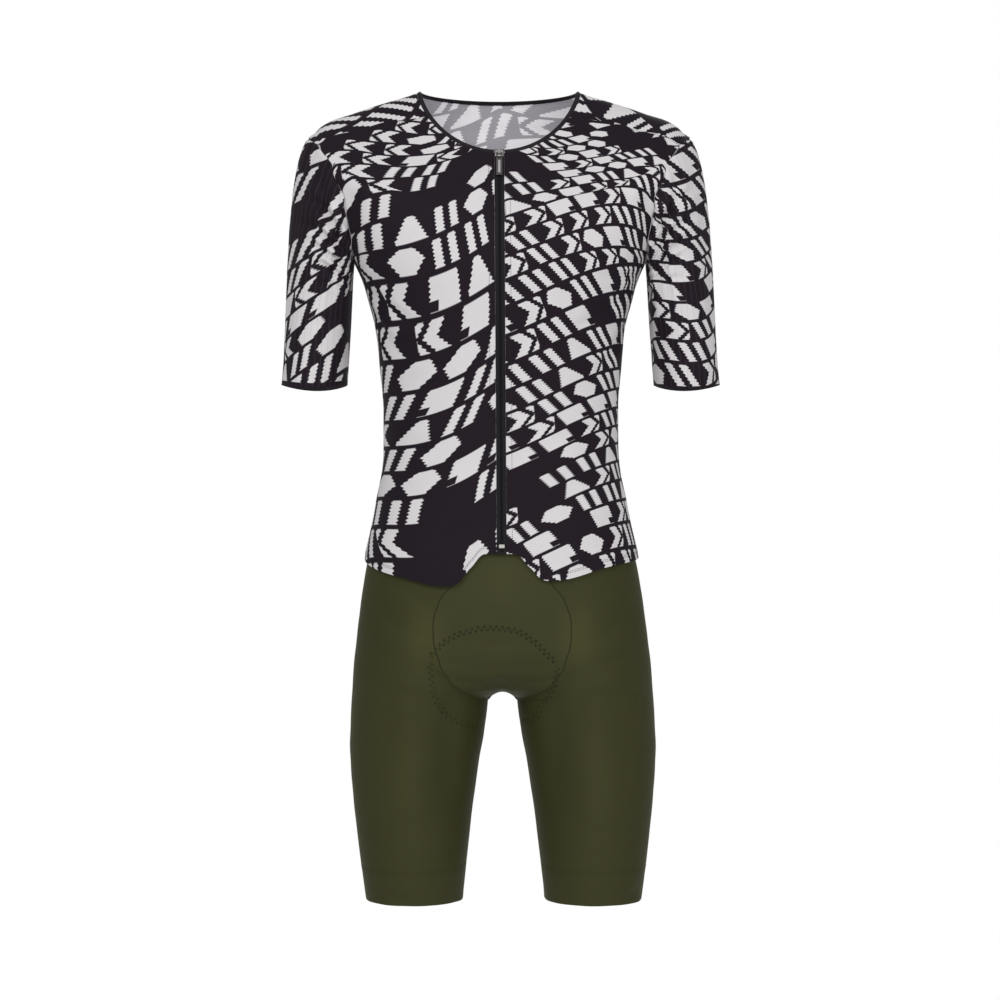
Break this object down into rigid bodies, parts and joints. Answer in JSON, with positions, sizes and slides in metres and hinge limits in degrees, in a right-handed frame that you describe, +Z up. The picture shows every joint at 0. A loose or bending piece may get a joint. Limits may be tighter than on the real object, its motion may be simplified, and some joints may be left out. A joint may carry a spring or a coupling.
{
  "type": "cycling suit",
  "caption": "Short-sleeved cycling suit, filled out as when worn: zipped jersey with pointed front hems over shorts with a rounded front panel, a seat pad and leg bands.",
  "frame": {"origin": "midway between the points where the shoulders meet the neck, where the wearer holds the suit up", "axes": "+X to the wearer's left, -Y to the front, +Z up"},
  "size_m": [0.5128, 0.2331, 0.9435],
  "materials": {
    "jersey_cloth": "matt, printed near black and white",
    "shorts_cloth": "matt olive",
    "binding_cloth": "matt near black",
    "pad_foam": "matt near black",
    "zip_metal": "dark satin metal"
  },
  "bodies": {
    "suit": {"jersey_front_right": "jersey_cloth", "jersey_front_left": "jersey_cloth", "jersey_back": "jersey_cloth", "sleeve_right": "jersey_cloth", "sleeve_left": "jersey_cloth", "neck_binding": "binding_cloth", "zip_tape_right": "binding_cloth", "zip_tape_left": "binding_cloth", "zip_slider": "zip_metal", "zip_stop": "zip_metal", "shorts_front": "shorts_cloth", "shorts_leg_right": "shorts_cloth", "shorts_leg_left": "shorts_cloth", "leg_band_right": "shorts_cloth", "leg_band_left": "shorts_cloth", "seat_pad": "pad_foam"},
    "pull_tab": {"pull_tab": "zip_metal"}
  },
  "joints": [
    {"name": "pull_tab_hinge", "type": "hinge", "parent": "suit", "child": "pull_tab", "pos_m": [-0.00089, -0.07064, -0.08052], "axis": [-1, 0, 0], "range_deg": [0, 150]}
  ]
}
